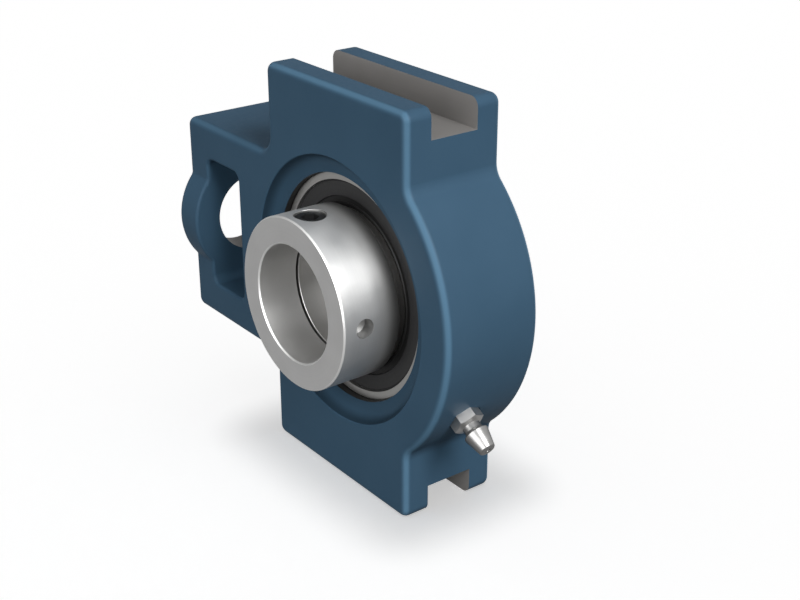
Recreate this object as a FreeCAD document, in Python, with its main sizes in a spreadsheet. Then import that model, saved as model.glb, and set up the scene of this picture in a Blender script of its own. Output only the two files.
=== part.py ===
import FreeCAD, Part
import math
import os
import re
import Sketcher

# Take up bearing unit for a 30 mm shaft. Millimetres and degrees. The origin is the centre of the bearing:
# X runs along the take up travel with the screw end at -X, Y is the shaft's axis with the locking collar
# towards -Y, and Z is up.

SIZES = {
    # The cast housing, as its front view shows it.
    "block_width": 57.4,
    "block_height": 105,
    "body_thickness": 28,
    "arm_reach": 70.6,
    "arm_height": 57,
    "nose_radius": 44.2,
    "nose_blend": 5,
    "edge_round": 2,
    "corner_extra": 0.5,
    "inner_corner": 5,
    "cut_margin": 1,
    # The guide grooves for the frame's rails, and the end that the take up screw pulls on.
    "guide_width": 13.5,
    "guide_depth": 7.5,
    "end_wall": 10,
    "slot_length": 16,
    "slot_height": 37,
    "slot_round": 2.5,
    "boss_diameter": 37,
    "boss_round": 1.2,
    "boss_blend": 2,
    "screw_hole": 22,
    # The recess round the insert, its spherical seat, the seat's grease groove and the filling slots.
    "recess_reach": 5.05,
    "recess_depth": 3.2,
    "recess_curve": 9,
    "seat_lip": 1.43,
    "seat_play": 0.03,
    "grease_groove_place": 4.4,
    "grease_groove_width": 4.4,
    "grease_groove_depth": 1.2,
    "filling_play": 0.25,
    # The rings, the balls and the cage. The balls run half way between the bore and the outer ring.
    "bore": 30,
    "ring_diameter": 62,
    "ring_width": 18,
    "ring_chamfer": 0.4,
    "bore_chamfer": 0.3,
    "ball_count": 9,
    "ball_diameter": 9.525,
    "race_share": 0.52,
    "race_play": 0.02,
    "outer_land_step": 2.6,
    "inner_land_step": 2.7,
    "shoulder_step": 0.6,
    "oil_hole": 1.8,
    "oil_hole_place": 5.6,
    "cage_wall": 3,
    "cage_back": 6.2,
    "cage_front": 2.6,
    "pocket_play": 0.15,
    # The seals, from the outer ring's seat in to the lip that runs on the inner ring.
    "seal_step": 1.9,
    "seal_pocket": 1.6,
    "seal_inset": 0.6,
    "seal_play": 0.05,
    "bead_width": 0.2,
    "bead_groove": 0.3,
    "lip_play": 0.2,
    "lip_place": 0.7,
    "lip_ridge": 0.4,
    "lip_height": 0.35,
    "dish_width": 2.9,
    "dish_depth": 0.5,
    # The eccentric locking collar and the cam on the inner ring that it turns on.
    "cam_wall": 2.5,
    "cam_offset": 0.8,
    "cam_length": 5.2,
    "cam_play": 0.25,
    "cam_end_gap": 0.6,
    "collar_wall": 7.05,
    "collar_play": 0.1,
    "collar_length": 16.2,
    "collar_gap": 0.9,
    "collar_chamfer": 0.5,
    "collar_bore_chamfer": 0.6,
    "spanner_hole": 5,
    "spanner_depth": 3.6,
    # The set screw in the collar's top.
    "screw_inset": 6,
    "screw_diameter": 7.9,
    "screw_play": 0.05,
    "screw_length": 6,
    "screw_lift": 0.4,
    "screw_chamfer": 0.4,
    "countersink": 0.35,
    "point_cone": 1,
    "cup_width": 3.6,
    "cup_depth": 0.8,
    "socket_width": 4,
    "socket_depth": 3,
    # The grease nipple on the round end. Its seat is a spot face, a little below the surface.
    "nipple_angle": -30.5,
    "nipple_place": -3.2,
    "spot_depth": 0.2,
    "spot_face": 10.6,
    "stud_diameter": 6,
    "stud_length": 5.5,
    "stud_chamfer": 0.5,
    "stud_play": 0.03,
    "tapped_depth": 7,
    "passage": 3,
    "hexagon_width": 7,
    "hexagon_height": 2.9,
    "hexagon_slope": 30,
    "neck_diameter": 4.6,
    "neck_length": 1.5,
    "head_diameter": 6.5,
    "head_slope": 0.8,
    "head_length": 5.15,
    "tip_diameter": 4.2,
    "tip_chamfer": 0.3,
    "feed_hole": 1.5,
    "chamber": 2.4,
    "chamber_depth": 8,
    "mouth": 1.4,
    "mouth_lip": 0.5,
    "check_ball": 2.2,
    "check_play": 0.02,
    "coil_diameter": 1.7,
    "wire_diameter": 0.3,
    "coil_turns": 5,
    "spring_play": 0.03,
}

# Radii and places that more than one piece shares, each with its sign in the piece's own frame.
HALF_BODY = "(body_thickness / 2)"
HALF_RING = "(ring_width / 2)"
PITCH = "((bore + ring_diameter) / 4)"
RACE = "(race_share * ball_diameter)"
OUTER_RACE = f"({PITCH} + ball_diameter / 2 + race_play - {RACE})"
INNER_RACE = f"({PITCH} - ball_diameter / 2 - race_play + {RACE})"
OUTER_LAND = f"({PITCH} + outer_land_step)"
INNER_LAND = f"({PITCH} - inner_land_step)"
SEAT = "(ring_diameter / 2 + seat_play)"
SHOULDER = f"({HALF_RING} + shoulder_step)"
CAM_END = f"({SHOULDER} + cam_length)"
CAM = "(bore / 2 + cam_wall)"
COLLAR = "(bore / 2 + collar_wall)"
COLLAR_BACK = f"({SHOULDER} + collar_gap)"
COLLAR_FRONT = f"({COLLAR_BACK} + collar_length)"
SCREW_PLACE = f"({COLLAR_FRONT} - screw_inset)"
NIPPLE_SEAT = "(nose_radius - spot_depth)"
HEXAGON_TOP = f"({NIPPLE_SEAT} + hexagon_height)"
HEAD_START = f"({HEXAGON_TOP} + neck_length)"
TIP = f"({HEAD_START} + head_slope + head_length)"
CHAMBER_FLOOR = f"({TIP} - chamber_depth)"
MOUTH_CONE = f"({TIP} - mouth_lip + mouth / 2)"
CHECK_PLACE = f"({MOUTH_CONE} - sqrt(2) * (check_ball / 2 + check_play))"

os.makedirs("parts", exist_ok=True)
doc = FreeCAD.newDocument("take_up_unit")
sheet = doc.addObject("Spreadsheet::Sheet", "sizes")
for row, (alias, number) in enumerate(SIZES.items(), start=1):
    sheet.set(f"A{row}", alias)
    sheet.set(f"B{row}", str(number))
    sheet.setAlias(f"B{row}", alias)
doc.recompute()


def bound(expression):
    """The expression with each size in it read from the sheet."""
    return re.sub(r"[a-z_]+", lambda word: f"sizes.{word[0]}" if word[0] in SIZES else word[0], expression)


def value(expression):
    """The number that an expression on the sizes gives now."""
    return float(sheet.evalExpression(bound(expression)))


def bind(thing, expressions):
    """Ties properties of an object to the sheet."""
    for name, expression in expressions.items():
        thing.setExpression(name, bound(expression))


def add_body(label):
    body = doc.addObject("PartDesign::Body", label)
    body.Label = label
    return body


def origin_of(body, role):
    """The plane or axis of a body's own origin that has this role."""
    return next(item for item in body.Origin.OriginFeatures if item.Role == role)


def add_sketch(body, name, plane, lift="0"):
    """A sketch on an origin plane of its body, lifted along the plane's normal."""
    sketch = body.newObject("Sketcher::SketchObject", name)
    sketch.AttachmentSupport = (origin_of(body, plane), [""])
    sketch.MapMode = "FlatFace"
    bind(sketch, {".AttachmentOffset.Base.z": lift})
    return sketch


def hold(sketch, kind, parts, expression):
    """One dimension of a sketch, tied to the sheet."""
    index = sketch.addConstraint(Sketcher.Constraint(kind, *parts, value(expression)))
    sketch.renameConstraint(index, f"size{index}")
    bind(sketch, {f"Constraints.size{index}": expression})


def fix_point(sketch, line, end, x, y):
    """Holds one point of a sketch at x and y: on an axis where the expression is 0, else by a dimension."""
    for kind, axis, expression in (("DistanceX", -2, x), ("DistanceY", -1, y)):
        if expression == "0":
            sketch.addConstraint(Sketcher.Constraint("PointOnObject", line, end, axis))
        else:
            hold(sketch, kind, (-1, 1, line, end), expression)


def draw_outline(sketch, corners):
    """Draws a closed outline. A straight line runs on from a corner (x, y) to the next one, and an arc from a
    corner (x, y, radius, way), where way is 1 for an arc that turns left as it is followed and -1 for right."""
    points = [FreeCAD.Vector(value(corner[0]), value(corner[1]), 0) for corner in corners]
    lines = []
    for corner, start, finish in zip(corners, points, points[1:] + points[:1]):
        if len(corner) == 2:
            lines.append((sketch.addGeometry(Part.LineSegment(start, finish)), 1, 2))
            continue
        radius, way = value(corner[2]), corner[3]
        chord = finish - start
        left = FreeCAD.Vector(-chord.y, chord.x, 0).normalize()
        centre = (start + finish) / 2 + left * way * math.sqrt(radius**2 - (chord.Length / 2) ** 2)
        angles = [math.atan2(point.y - centre.y, point.x - centre.x) for point in (start, finish)][::way]
        circle = Part.Circle(centre, FreeCAD.Vector(0, 0, 1), radius)
        line = sketch.addGeometry(Part.ArcOfCircle(circle, *angles))
        lines.append((line, 1, 2) if way == 1 else (line, 2, 1))
    for (line, _, end), (following, begin, _) in zip(lines, lines[1:] + lines[:1]):
        sketch.addConstraint(Sketcher.Constraint("Coincident", line, end, following, begin))
    for (line, begin, _), corner in zip(lines, corners):
        fix_point(sketch, line, begin, corner[0], corner[1])
        if len(corner) == 4:
            hold(sketch, "Radius", (line,), corner[2])


def draw_box(sketch, left, right, low, high):
    draw_outline(sketch, [(left, low), (right, low), (right, high), (left, high)])


def draw_circle(sketch, x, y, radius):
    centre = FreeCAD.Vector(value(x), value(y), 0)
    line = sketch.addGeometry(Part.Circle(centre, FreeCAD.Vector(0, 0, 1), value(radius)))
    fix_point(sketch, line, 3, x, y)
    hold(sketch, "Radius", (line,), radius)


def draw_hexagon(sketch, width):
    """A hexagon round the sketch's origin, this wide across its flats."""
    corner = f"{width} / sqrt(3)"
    draw_outline(sketch, [(f"{corner} * cos({60 * k})", f"{corner} * sin({60 * k})") for k in range(6)])


def add_feature(body, kind, name, grows, bindings=None, **settings):
    """Adds a feature to a body, and checks that the body grew or shrank by it as it should."""
    before = body.Shape.Volume if body.Tip and body.Tip.isDerivedFrom("PartDesign::Feature") else 0
    feature = body.newObject(f"PartDesign::{kind}", name)
    for setting, given in settings.items():
        setattr(feature, setting, given)
    bind(feature, bindings or {})
    body.Tip = feature
    doc.recompute()
    change = feature.Shape.Volume - before
    if change == 0 or (change > 0) != grows:
        raise RuntimeError(f"{name} changed the volume by {change}")
    return feature


def turned(body, name, corners, axis="Y_Axis", plane="XY_Plane", kind="Revolution"):
    """Turns an outline of radius and place about an axis of the body, as a solid or as a cut."""
    sketch = add_sketch(body, f"{name}_section", plane)
    draw_outline(sketch, corners)
    reference = (origin_of(body, axis), [""])
    return add_feature(body, kind, name, kind == "Revolution", Profile=sketch, ReferenceAxis=reference)


def ends(edge):
    return [vertex.Point for vertex in edge.Vertexes]


def near(a, b):
    return abs(a - b) < 1e-4


def round_edges(body, name, rule, radius, grows, kind="Fillet", measure="Radius"):
    """Rounds or chamfers the edges of the body's last feature for which rule(edge) holds."""
    last = body.Tip
    chosen = [f"Edge{k}" for k, edge in enumerate(last.Shape.Edges, start=1) if rule(edge)]
    return add_feature(body, kind, name, grows, {measure: radius}, Base=(last, chosen))


def make_housing():
    """One casting, with the machining that the insert, the rails, the screw and the nipple need."""
    body = add_body("housing")
    side = "(block_width / 2)"
    top = "(block_height / 2)"
    arm = "(arm_height / 2)"
    blend_x = f"({side} + nose_blend)"
    blend_z = f"sqrt((nose_radius + nose_blend) ^ 2 - {blend_x} ^ 2)"
    share = "nose_radius / (nose_radius + nose_blend)"

    casting = add_sketch(body, "casting_outline", "XZ_Plane")
    draw_outline(
        casting,
        [
            ("-arm_reach", f"-{arm}"),
            (f"-{side}", f"-{arm}"),
            (f"-{side}", f"-{top}"),
            (side, f"-{top}"),
            (side, f"-{blend_z}", "nose_blend", -1),
            (f"{blend_x} * {share}", f"-{blend_z} * {share}", "nose_radius", 1),
            (f"{blend_x} * {share}", f"{blend_z} * {share}", "nose_blend", -1),
            (side, blend_z),
            (side, top),
            (f"-{side}", top),
            (f"-{side}", arm),
            ("-arm_reach", arm),
        ],
    )
    thickness = {"Length": "body_thickness"}
    add_feature(body, "Pad", "casting", True, thickness, Profile=casting, SideType="Symmetric")

    def runs_across(edge):
        a, b = ends(edge)
        return near(a.x, b.x) and near(a.z, b.z)

    def is_corner(edge):
        place = ends(edge)[0]
        outer = near(abs(place.z), value(top)) or near(place.x, -value("arm_reach"))
        return runs_across(edge) and outer

    def is_inner_corner(edge):
        place = ends(edge)[0]
        return runs_across(edge) and near(abs(place.z), value(arm)) and near(place.x, -value(side))

    def is_rim(edge):
        a, b = ends(edge)
        return near(a.y, b.y) and near(abs(a.y), value(HALF_BODY))

    round_edges(body, "casting_corners", is_corner, "edge_round + corner_extra", False)
    round_edges(body, "arm_corners", is_inner_corner, "inner_corner", True)
    round_edges(body, "casting_rims", is_rim, "edge_round", False)

    turned(
        body,
        "boss",
        [
            ("-arm_reach", "0"),
            ("end_wall - arm_reach", "0"),
            ("end_wall - arm_reach", "boss_diameter / 2"),
            ("boss_round - arm_reach", "boss_diameter / 2", "boss_round", 1),
            ("-arm_reach", "boss_diameter / 2 - boss_round"),
        ],
        axis="X_Axis",
    )

    def is_boss_foot(edge):
        a, b = ends(edge)
        lengthways = near(a.y, b.y) and near(a.z, b.z)
        on_boss = near(math.hypot(a.y, a.z), value("boss_diameter / 2"))
        return lengthways and on_boss and near(abs(a.y), value(HALF_BODY))

    round_edges(body, "boss_foot", is_boss_foot, "boss_blend", True)

    slot = add_sketch(body, "nut_slot_outline", "XZ_Plane")
    low, high = "end_wall - arm_reach", "end_wall + slot_length - arm_reach"
    draw_outline(
        slot,
        [
            (f"{low} + slot_round", "-slot_height / 2"),
            (f"{high} - slot_round", "-slot_height / 2", "slot_round", 1),
            (high, "slot_round - slot_height / 2"),
            (high, "slot_height / 2 - slot_round", "slot_round", 1),
            (f"{high} - slot_round", "slot_height / 2"),
            (f"{low} + slot_round", "slot_height / 2", "slot_round", 1),
            (low, "slot_height / 2 - slot_round"),
            (low, "slot_round - slot_height / 2", "slot_round", 1),
        ],
    )
    through = {"Length": "body_thickness + boss_diameter"}
    add_feature(body, "Pocket", "nut_slot", False, through, Profile=slot, SideType="Symmetric")

    hole = add_sketch(body, "screw_hole_outline", "YZ_Plane", "end_wall - arm_reach + cut_margin")
    draw_circle(hole, "0", "0", "screw_hole / 2")
    add_feature(body, "Pocket", "screw_hole", False, {"Length": "end_wall + 2 * cut_margin"}, Profile=hole)

    for name, way in (("top_guide", ""), ("bottom_guide", "-")):
        guide = add_sketch(body, f"{name}_outline", "YZ_Plane")
        floor = f"{way}({top} - guide_depth)"
        draw_box(guide, "-guide_width / 2", "guide_width / 2", floor, f"{way}({top} + cut_margin)")
        length = {"Length": "2 * arm_reach"}
        add_feature(body, "Pocket", name, False, length, Profile=guide, SideType="Symmetric")

    lip = f"({SEAT} - seat_lip)"
    mouth = f"({lip} + recess_reach)"
    slope_end = f"({HALF_BODY} - recess_depth)"
    seat_end = f"sqrt({SEAT} ^ 2 - {lip} ^ 2)"
    turned(
        body,
        "insert_seat",
        [
            ("0", f"-{HALF_BODY} - cut_margin"),
            (mouth, f"-{HALF_BODY} - cut_margin"),
            (mouth, f"-{HALF_BODY}", "recess_curve", 1),
            (lip, f"-{slope_end}"),
            (lip, f"-{seat_end}", SEAT, 1),
            (lip, seat_end),
            (lip, slope_end, "recess_curve", 1),
            (mouth, HALF_BODY),
            (mouth, f"{HALF_BODY} + cut_margin"),
            ("0", f"{HALF_BODY} + cut_margin"),
        ],
        kind="Groove",
    )
    groove_reach = f"sqrt({SEAT} ^ 2 - grease_groove_place ^ 2) + grease_groove_depth"
    groove_front = "-grease_groove_place - grease_groove_width / 2"
    groove_back = "grease_groove_width / 2 - grease_groove_place"
    turned(
        body,
        "grease_groove",
        [(lip, groove_front), (groove_reach, groove_front), (groove_reach, groove_back), (lip, groove_back)],
        kind="Groove",
    )

    filling = add_sketch(body, "filling_slots_outline", "XZ_Plane")
    half_slot = f"({HALF_RING} + filling_play)"
    slot_end = f"sqrt({SEAT} ^ 2 - {half_slot} ^ 2)"
    draw_outline(
        filling,
        [
            (slot_end, f"-{half_slot}", SEAT, 1),
            (slot_end, half_slot),
            (f"-{slot_end}", half_slot, SEAT, 1),
            (f"-{slot_end}", f"-{half_slot}"),
        ],
    )
    depth = {"Length": f"{HALF_BODY} + cut_margin"}
    add_feature(body, "Pocket", "filling_slots", False, depth, Profile=filling)

    passage = body.newObject("Sketcher::SketchObject", "grease_passage_section")
    passage.AttachmentSupport = (origin_of(body, "XY_Plane"), [""])
    passage.MapMode = "FlatFace"
    passage.AttachmentOffset = FreeCAD.Placement(FreeCAD.Vector(), FreeCAD.Rotation(FreeCAD.Vector(0, 1, 0), 1))
    bind(
        passage,
        {".AttachmentOffset.Base.y": "nipple_place", ".AttachmentOffset.Rotation.Angle": "-nipple_angle"},
    )
    tapped = "(stud_diameter / 2 + stud_play)"
    inner_end = f"{SEAT} - seat_lip"
    tapped_end = f"({NIPPLE_SEAT} - tapped_depth)"
    draw_outline(
        passage,
        [
            (inner_end, "0"),
            ("nose_radius + cut_margin", "0"),
            ("nose_radius + cut_margin", "spot_face / 2"),
            (NIPPLE_SEAT, "spot_face / 2"),
            (NIPPLE_SEAT, tapped),
            (tapped_end, tapped),
            (f"{tapped_end} - {tapped} + passage / 2", "passage / 2"),
            (inner_end, "passage / 2"),
        ],
    )
    add_feature(body, "Groove", "grease_passage", False, Profile=passage, ReferenceAxis=(passage, ["H_Axis"]))
    return body


def make_outer_ring():
    """The ring with the spherical outside. Grease enters through two holes beside the race."""
    body = add_body("outer_ring")
    face = f"(sqrt((ring_diameter / 2) ^ 2 - {HALF_RING} ^ 2) - ring_chamfer)"
    sphere_end = f"({HALF_RING} - ring_chamfer)"
    sphere_edge = f"sqrt((ring_diameter / 2) ^ 2 - {sphere_end} ^ 2)"
    seal_seat = f"({OUTER_LAND} + seal_step)"
    seal_floor = f"({HALF_RING} - seal_pocket)"
    race_end = f"sqrt({RACE} ^ 2 - ({OUTER_LAND} - {OUTER_RACE}) ^ 2)"
    turned(
        body,
        "outer_ring_blank",
        [
            (face, f"-{HALF_RING}"),
            (sphere_edge, f"-{sphere_end}", "ring_diameter / 2", 1),
            (sphere_edge, sphere_end),
            (face, HALF_RING),
            (seal_seat, HALF_RING),
            (seal_seat, seal_floor),
            (OUTER_LAND, seal_floor),
            (OUTER_LAND, race_end, RACE, -1),
            (OUTER_LAND, f"-{race_end}"),
            (OUTER_LAND, f"-{seal_floor}"),
            (seal_seat, f"-{seal_floor}"),
            (seal_seat, f"-{HALF_RING}"),
        ],
    )
    holes = add_sketch(body, "oil_holes_outline", "XY_Plane")
    draw_circle(holes, "0", "-oil_hole_place", "oil_hole / 2")
    across = {"Length": "ring_diameter"}
    add_feature(body, "Pocket", "oil_holes", False, across, Profile=holes, SideType="Symmetric")
    return body


def make_inner_ring():
    """The ring on the shaft. Its long side ends in a cam, a short cylinder that is off the shaft's centre."""
    body = add_body("inner_ring")
    race_end = f"sqrt({RACE} ^ 2 - ({INNER_RACE} - {INNER_LAND}) ^ 2)"
    turned(
        body,
        "inner_ring_blank",
        [
            ("bore / 2", f"-{SHOULDER}"),
            (INNER_LAND, f"-{SHOULDER}"),
            (INNER_LAND, f"-{race_end}", RACE, -1),
            (INNER_LAND, race_end),
            (INNER_LAND, HALF_RING),
            ("bore / 2", HALF_RING),
        ],
    )
    cam = add_sketch(body, "cam_outline", "XZ_Plane", SHOULDER)
    draw_circle(cam, "0", "cam_offset", CAM)
    draw_circle(cam, "0", "0", "bore / 2")
    add_feature(body, "Pad", "cam", True, {"Length": "cam_length"}, Profile=cam)

    def is_bore_end(edge):
        reach = max(math.hypot(point.x, point.z) for point in ends(edge))
        level = [point.y for point in ends(edge)]
        return near(reach, value("bore / 2")) and (near(min(level), value(HALF_RING)) or
                                                   near(max(level), -value(CAM_END)))

    round_edges(body, "bore_ends", is_bore_end, "bore_chamfer", False, kind="Chamfer", measure="Size")
    return body


def make_cage():
    """A crown cage: a ring behind the balls, with open pockets that the balls snap into from the front."""
    body = add_body("cage")
    inside, outside = f"({PITCH} - cage_wall / 2)", f"({PITCH} + cage_wall / 2)"
    turned(
        body,
        "cage_blank",
        [(inside, "-cage_front"), (outside, "-cage_front"), (outside, "cage_back"), (inside, "cage_back")],
    )
    pocket = body.newObject("PartDesign::SubtractiveSphere", "ball_pocket")
    pocket.AttachmentSupport = (origin_of(body, "XY_Plane"), [""])
    pocket.MapMode = "FlatFace"
    bind(pocket, {"Radius": "ball_diameter / 2 + pocket_play", ".AttachmentOffset.Base.x": PITCH})
    doc.recompute()
    add_feature(
        body,
        "PolarPattern",
        "ball_pockets",
        False,
        {"Occurrences": "ball_count"},
        Originals=[pocket],
        Axis=(origin_of(body, "Y_Axis"), [""]),
        Angle=360,
    )
    return body


def make_balls():
    """The row of balls, each in its own place round the pitch circle."""
    balls = []
    for k in range(int(value("ball_count"))):
        ball = doc.addObject("Part::Sphere", f"ball_{k + 1}")
        ball.Label = f"ball_{k + 1}"
        angle = f"(360 * {k} / ball_count)"
        bind(
            ball,
            {
                "Radius": "ball_diameter / 2",
                ".Placement.Base.x": f"{PITCH} * cos({angle})",
                ".Placement.Base.z": f"{PITCH} * sin({angle})",
            },
        )
        balls.append(ball)
    return balls


def make_seal(label, way):
    """A moulded seal, pressed into the outer ring on one side, whose lip runs on the inner ring."""
    body = add_body(label)
    bead = f"({OUTER_LAND} + seal_step - seal_play)"
    face = f"({HALF_RING} - seal_inset)"
    inner_side = f"({HALF_RING} - seal_pocket + seal_play)"
    dish = f"({face} - dish_depth)"
    ridge = f"({INNER_LAND} + lip_play + lip_place)"
    corners = [
        (bead, inner_side),
        (bead, face),
        (f"{bead} - bead_width", face),
        (f"{bead} - bead_width - bead_groove / 2", f"{face} - bead_groove"),
        (f"{bead} - bead_width - bead_groove", face),
        (f"{INNER_LAND} + dish_width", face),
        (f"{INNER_LAND} + dish_width", dish),
        (f"{ridge} + lip_ridge", dish),
        (f"{ridge} + lip_ridge / 2", f"{dish} + lip_height"),
        (ridge, dish),
        (f"{INNER_LAND} + lip_play", dish),
        (f"{INNER_LAND} + lip_play", inner_side),
    ]
    turned(body, f"{label}_ring", [(radius, f"{way}({place})") for radius, place in corners])
    return body


def make_locking_collar():
    """The collar that is turned on the cam until it grips, with the set screw's hole and a spanner hole."""
    body = add_body("locking_collar")
    inside = "(bore / 2 + collar_play)"
    turned(
        body,
        "collar_blank",
        [
            (f"{inside} + collar_bore_chamfer", f"-{COLLAR_FRONT}"),
            (f"{COLLAR} - collar_chamfer", f"-{COLLAR_FRONT}"),
            (COLLAR, f"collar_chamfer - {COLLAR_FRONT}"),
            (COLLAR, f"-{COLLAR_BACK} - collar_chamfer"),
            (f"{COLLAR} - collar_chamfer", f"-{COLLAR_BACK}"),
            (inside, f"-{COLLAR_BACK}"),
            (inside, f"collar_bore_chamfer - {COLLAR_FRONT}"),
        ],
    )
    recess = add_sketch(body, "cam_recess_outline", "XZ_Plane", COLLAR_BACK)
    draw_circle(recess, "0", "cam_offset", f"{CAM} + cam_play")
    depth = {"Length": f"{CAM_END} + cam_end_gap - {COLLAR_BACK}"}
    add_feature(body, "Pocket", "cam_recess", False, depth, Profile=recess, Reversed=True)

    tapped = add_sketch(body, "screw_hole_outline", "XY_Plane")
    draw_circle(tapped, "0", f"-{SCREW_PLACE}", "screw_diameter / 2 + screw_play")
    depth = {"Length": f"{COLLAR} + cut_margin"}
    add_feature(body, "Pocket", "collar_screw_hole", False, depth, Profile=tapped, Reversed=True)

    spanner = add_sketch(body, "spanner_hole_outline", "YZ_Plane", COLLAR)
    draw_circle(spanner, f"-{SCREW_PLACE}", "0", "spanner_hole / 2")
    add_feature(body, "Pocket", "spanner_hole", False, {"Length": "spanner_depth"}, Profile=spanner)

    def is_hole_mouth(edge):
        middle = edge.BoundBox.Center
        reach = value("screw_diameter / 2 + screw_play")
        outside = middle.z > value(COLLAR) - reach
        return outside and near(middle.y, -value(SCREW_PLACE)) and edge.BoundBox.XLength > reach

    round_edges(body, "screw_hole_mouth", is_hole_mouth, "countersink", False, kind="Chamfer", measure="Size")
    return body


def make_set_screw():
    """A cup point set screw with a hexagon socket, just clear of the shaft's surface."""
    body = add_body("set_screw")
    bind(body, {".Placement.Base.y": f"-{SCREW_PLACE}"})
    radius = "(screw_diameter / 2)"
    low = "(bore / 2 + screw_lift)"
    high = f"({low} + screw_length)"
    turned(
        body,
        "set_screw_blank",
        [
            ("0", f"{low} + cup_depth"),
            ("cup_width / 2", low),
            (f"{radius} - point_cone", low),
            (radius, f"{low} + point_cone"),
            (radius, f"{high} - screw_chamfer"),
            (f"{radius} - screw_chamfer", high),
            ("0", high),
        ],
        axis="Z_Axis",
        plane="XZ_Plane",
    )
    socket = add_sketch(body, "socket_outline", "XY_Plane", high)
    draw_hexagon(socket, "socket_width")
    add_feature(body, "Pocket", "socket", False, {"Length": "socket_depth"}, Profile=socket)
    return body


def put_on_nipple_axis(thing):
    """Places what is modelled along Z on the nipple's axis, which points away from the bearing."""
    thing.Placement = FreeCAD.Placement(FreeCAD.Vector(), FreeCAD.Rotation(FreeCAD.Vector(0, 1, 0), 1))
    bind(thing, {".Placement.Base.y": "nipple_place", ".Placement.Rotation.Angle": "90 - nipple_angle"})


def make_nipple_body():
    """The nipple's body: screwed stud, hexagon, neck and head, bored for the check ball and its spring."""
    body = add_body("nipple_body")
    put_on_nipple_axis(body)
    stud_end = f"({NIPPLE_SEAT} - stud_length)"
    turned(
        body,
        "nipple_blank",
        [
            ("feed_hole / 2", stud_end),
            ("stud_diameter / 2 - stud_chamfer", stud_end),
            ("stud_diameter / 2", f"{stud_end} + stud_chamfer"),
            ("stud_diameter / 2", HEXAGON_TOP),
            ("neck_diameter / 2", HEXAGON_TOP),
            ("neck_diameter / 2", HEAD_START),
            ("head_diameter / 2", f"{HEAD_START} + head_slope"),
            ("tip_diameter / 2", f"{TIP} - tip_chamfer"),
            ("tip_diameter / 2 - tip_chamfer", TIP),
            ("mouth / 2", TIP),
            ("mouth / 2", f"{TIP} - mouth_lip"),
            ("chamber / 2", f"{MOUTH_CONE} - chamber / 2"),
            ("chamber / 2", CHAMBER_FLOOR),
            ("feed_hole / 2", CHAMBER_FLOOR),
        ],
        axis="Z_Axis",
        plane="XZ_Plane",
    )
    hexagon = add_sketch(body, "hexagon_outline", "XY_Plane", NIPPLE_SEAT)
    draw_hexagon(hexagon, "hexagon_width")
    draw_circle(hexagon, "0", "0", "stud_diameter / 2 - stud_chamfer")
    add_feature(body, "Pad", "hexagon", True, {"Length": "hexagon_height"}, Profile=hexagon)
    reach = "(hexagon_width / sqrt(3) + cut_margin)"
    drop = f"({reach} - hexagon_width / 2) * tan(hexagon_slope)"
    turned(
        body,
        "hexagon_crown",
        [("hexagon_width / 2", HEXAGON_TOP), (reach, f"{HEXAGON_TOP} - {drop}"), (reach, HEXAGON_TOP)],
        axis="Z_Axis",
        plane="XZ_Plane",
        kind="Groove",
    )
    return body


def make_nipple_ball():
    """The check ball, which rests under the cone of the nipple's mouth."""
    ball = doc.addObject("Part::Sphere", "nipple_ball")
    ball.Label = "nipple_ball"
    bind(
        ball,
        {
            "Radius": "check_ball / 2",
            ".Placement.Base.x": f"{CHECK_PLACE} * cos(nipple_angle)",
            ".Placement.Base.y": "nipple_place",
            ".Placement.Base.z": f"{CHECK_PLACE} * sin(nipple_angle)",
        },
    )
    return ball


def make_nipple_spring():
    """The small helical spring between the chamber's floor and the check ball."""
    body = add_body("nipple_spring")
    put_on_nipple_axis(body)
    low = f"({CHAMBER_FLOOR} + wire_diameter / 2 + spring_play)"
    touch = "(check_ball / 2 + wire_diameter / 2 + spring_play)"
    high = f"({CHECK_PLACE} - sqrt({touch} ^ 2 - (coil_diameter / 2) ^ 2))"
    wire = add_sketch(body, "wire_section", "XZ_Plane")
    draw_circle(wire, "coil_diameter / 2", low, "wire_diameter / 2")
    add_feature(
        body,
        "AdditiveHelix",
        "coil",
        True,
        {"Height": f"{high} - {low}", "Turns": "coil_turns"},
        Profile=wire,
        ReferenceAxis=(wire, ["V_Axis"]),
        Mode="height-turns-angle",
    )
    return body


nodes = [
    make_housing(),
    make_outer_ring(),
    make_inner_ring(),
    make_cage(),
    *make_balls(),
    make_seal("front_seal", "-"),
    make_seal("rear_seal", ""),
    make_locking_collar(),
    make_set_screw(),
    make_nipple_body(),
    make_nipple_ball(),
    make_nipple_spring(),
]
doc.recompute()

for item in doc.Objects:
    if any(state in ("Invalid", "Error") for state in item.State):
        raise RuntimeError(f"{item.Name} didn't recompute: {item.State}")
for node in nodes:
    if node.Shape.isNull() or not node.Shape.isValid() or len(node.Shape.Solids) != 1:
        raise RuntimeError(f"{node.Label} isn't one valid solid")
for node in nodes:
    node.Shape.exportStep(f"parts/{node.Label}.step")
    print(f"{node.Label}: {node.Shape.Volume:.1f} mm3")
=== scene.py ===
import math

import bmesh
import bpy
import numpy as np
from mathutils import Matrix, Vector


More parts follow.
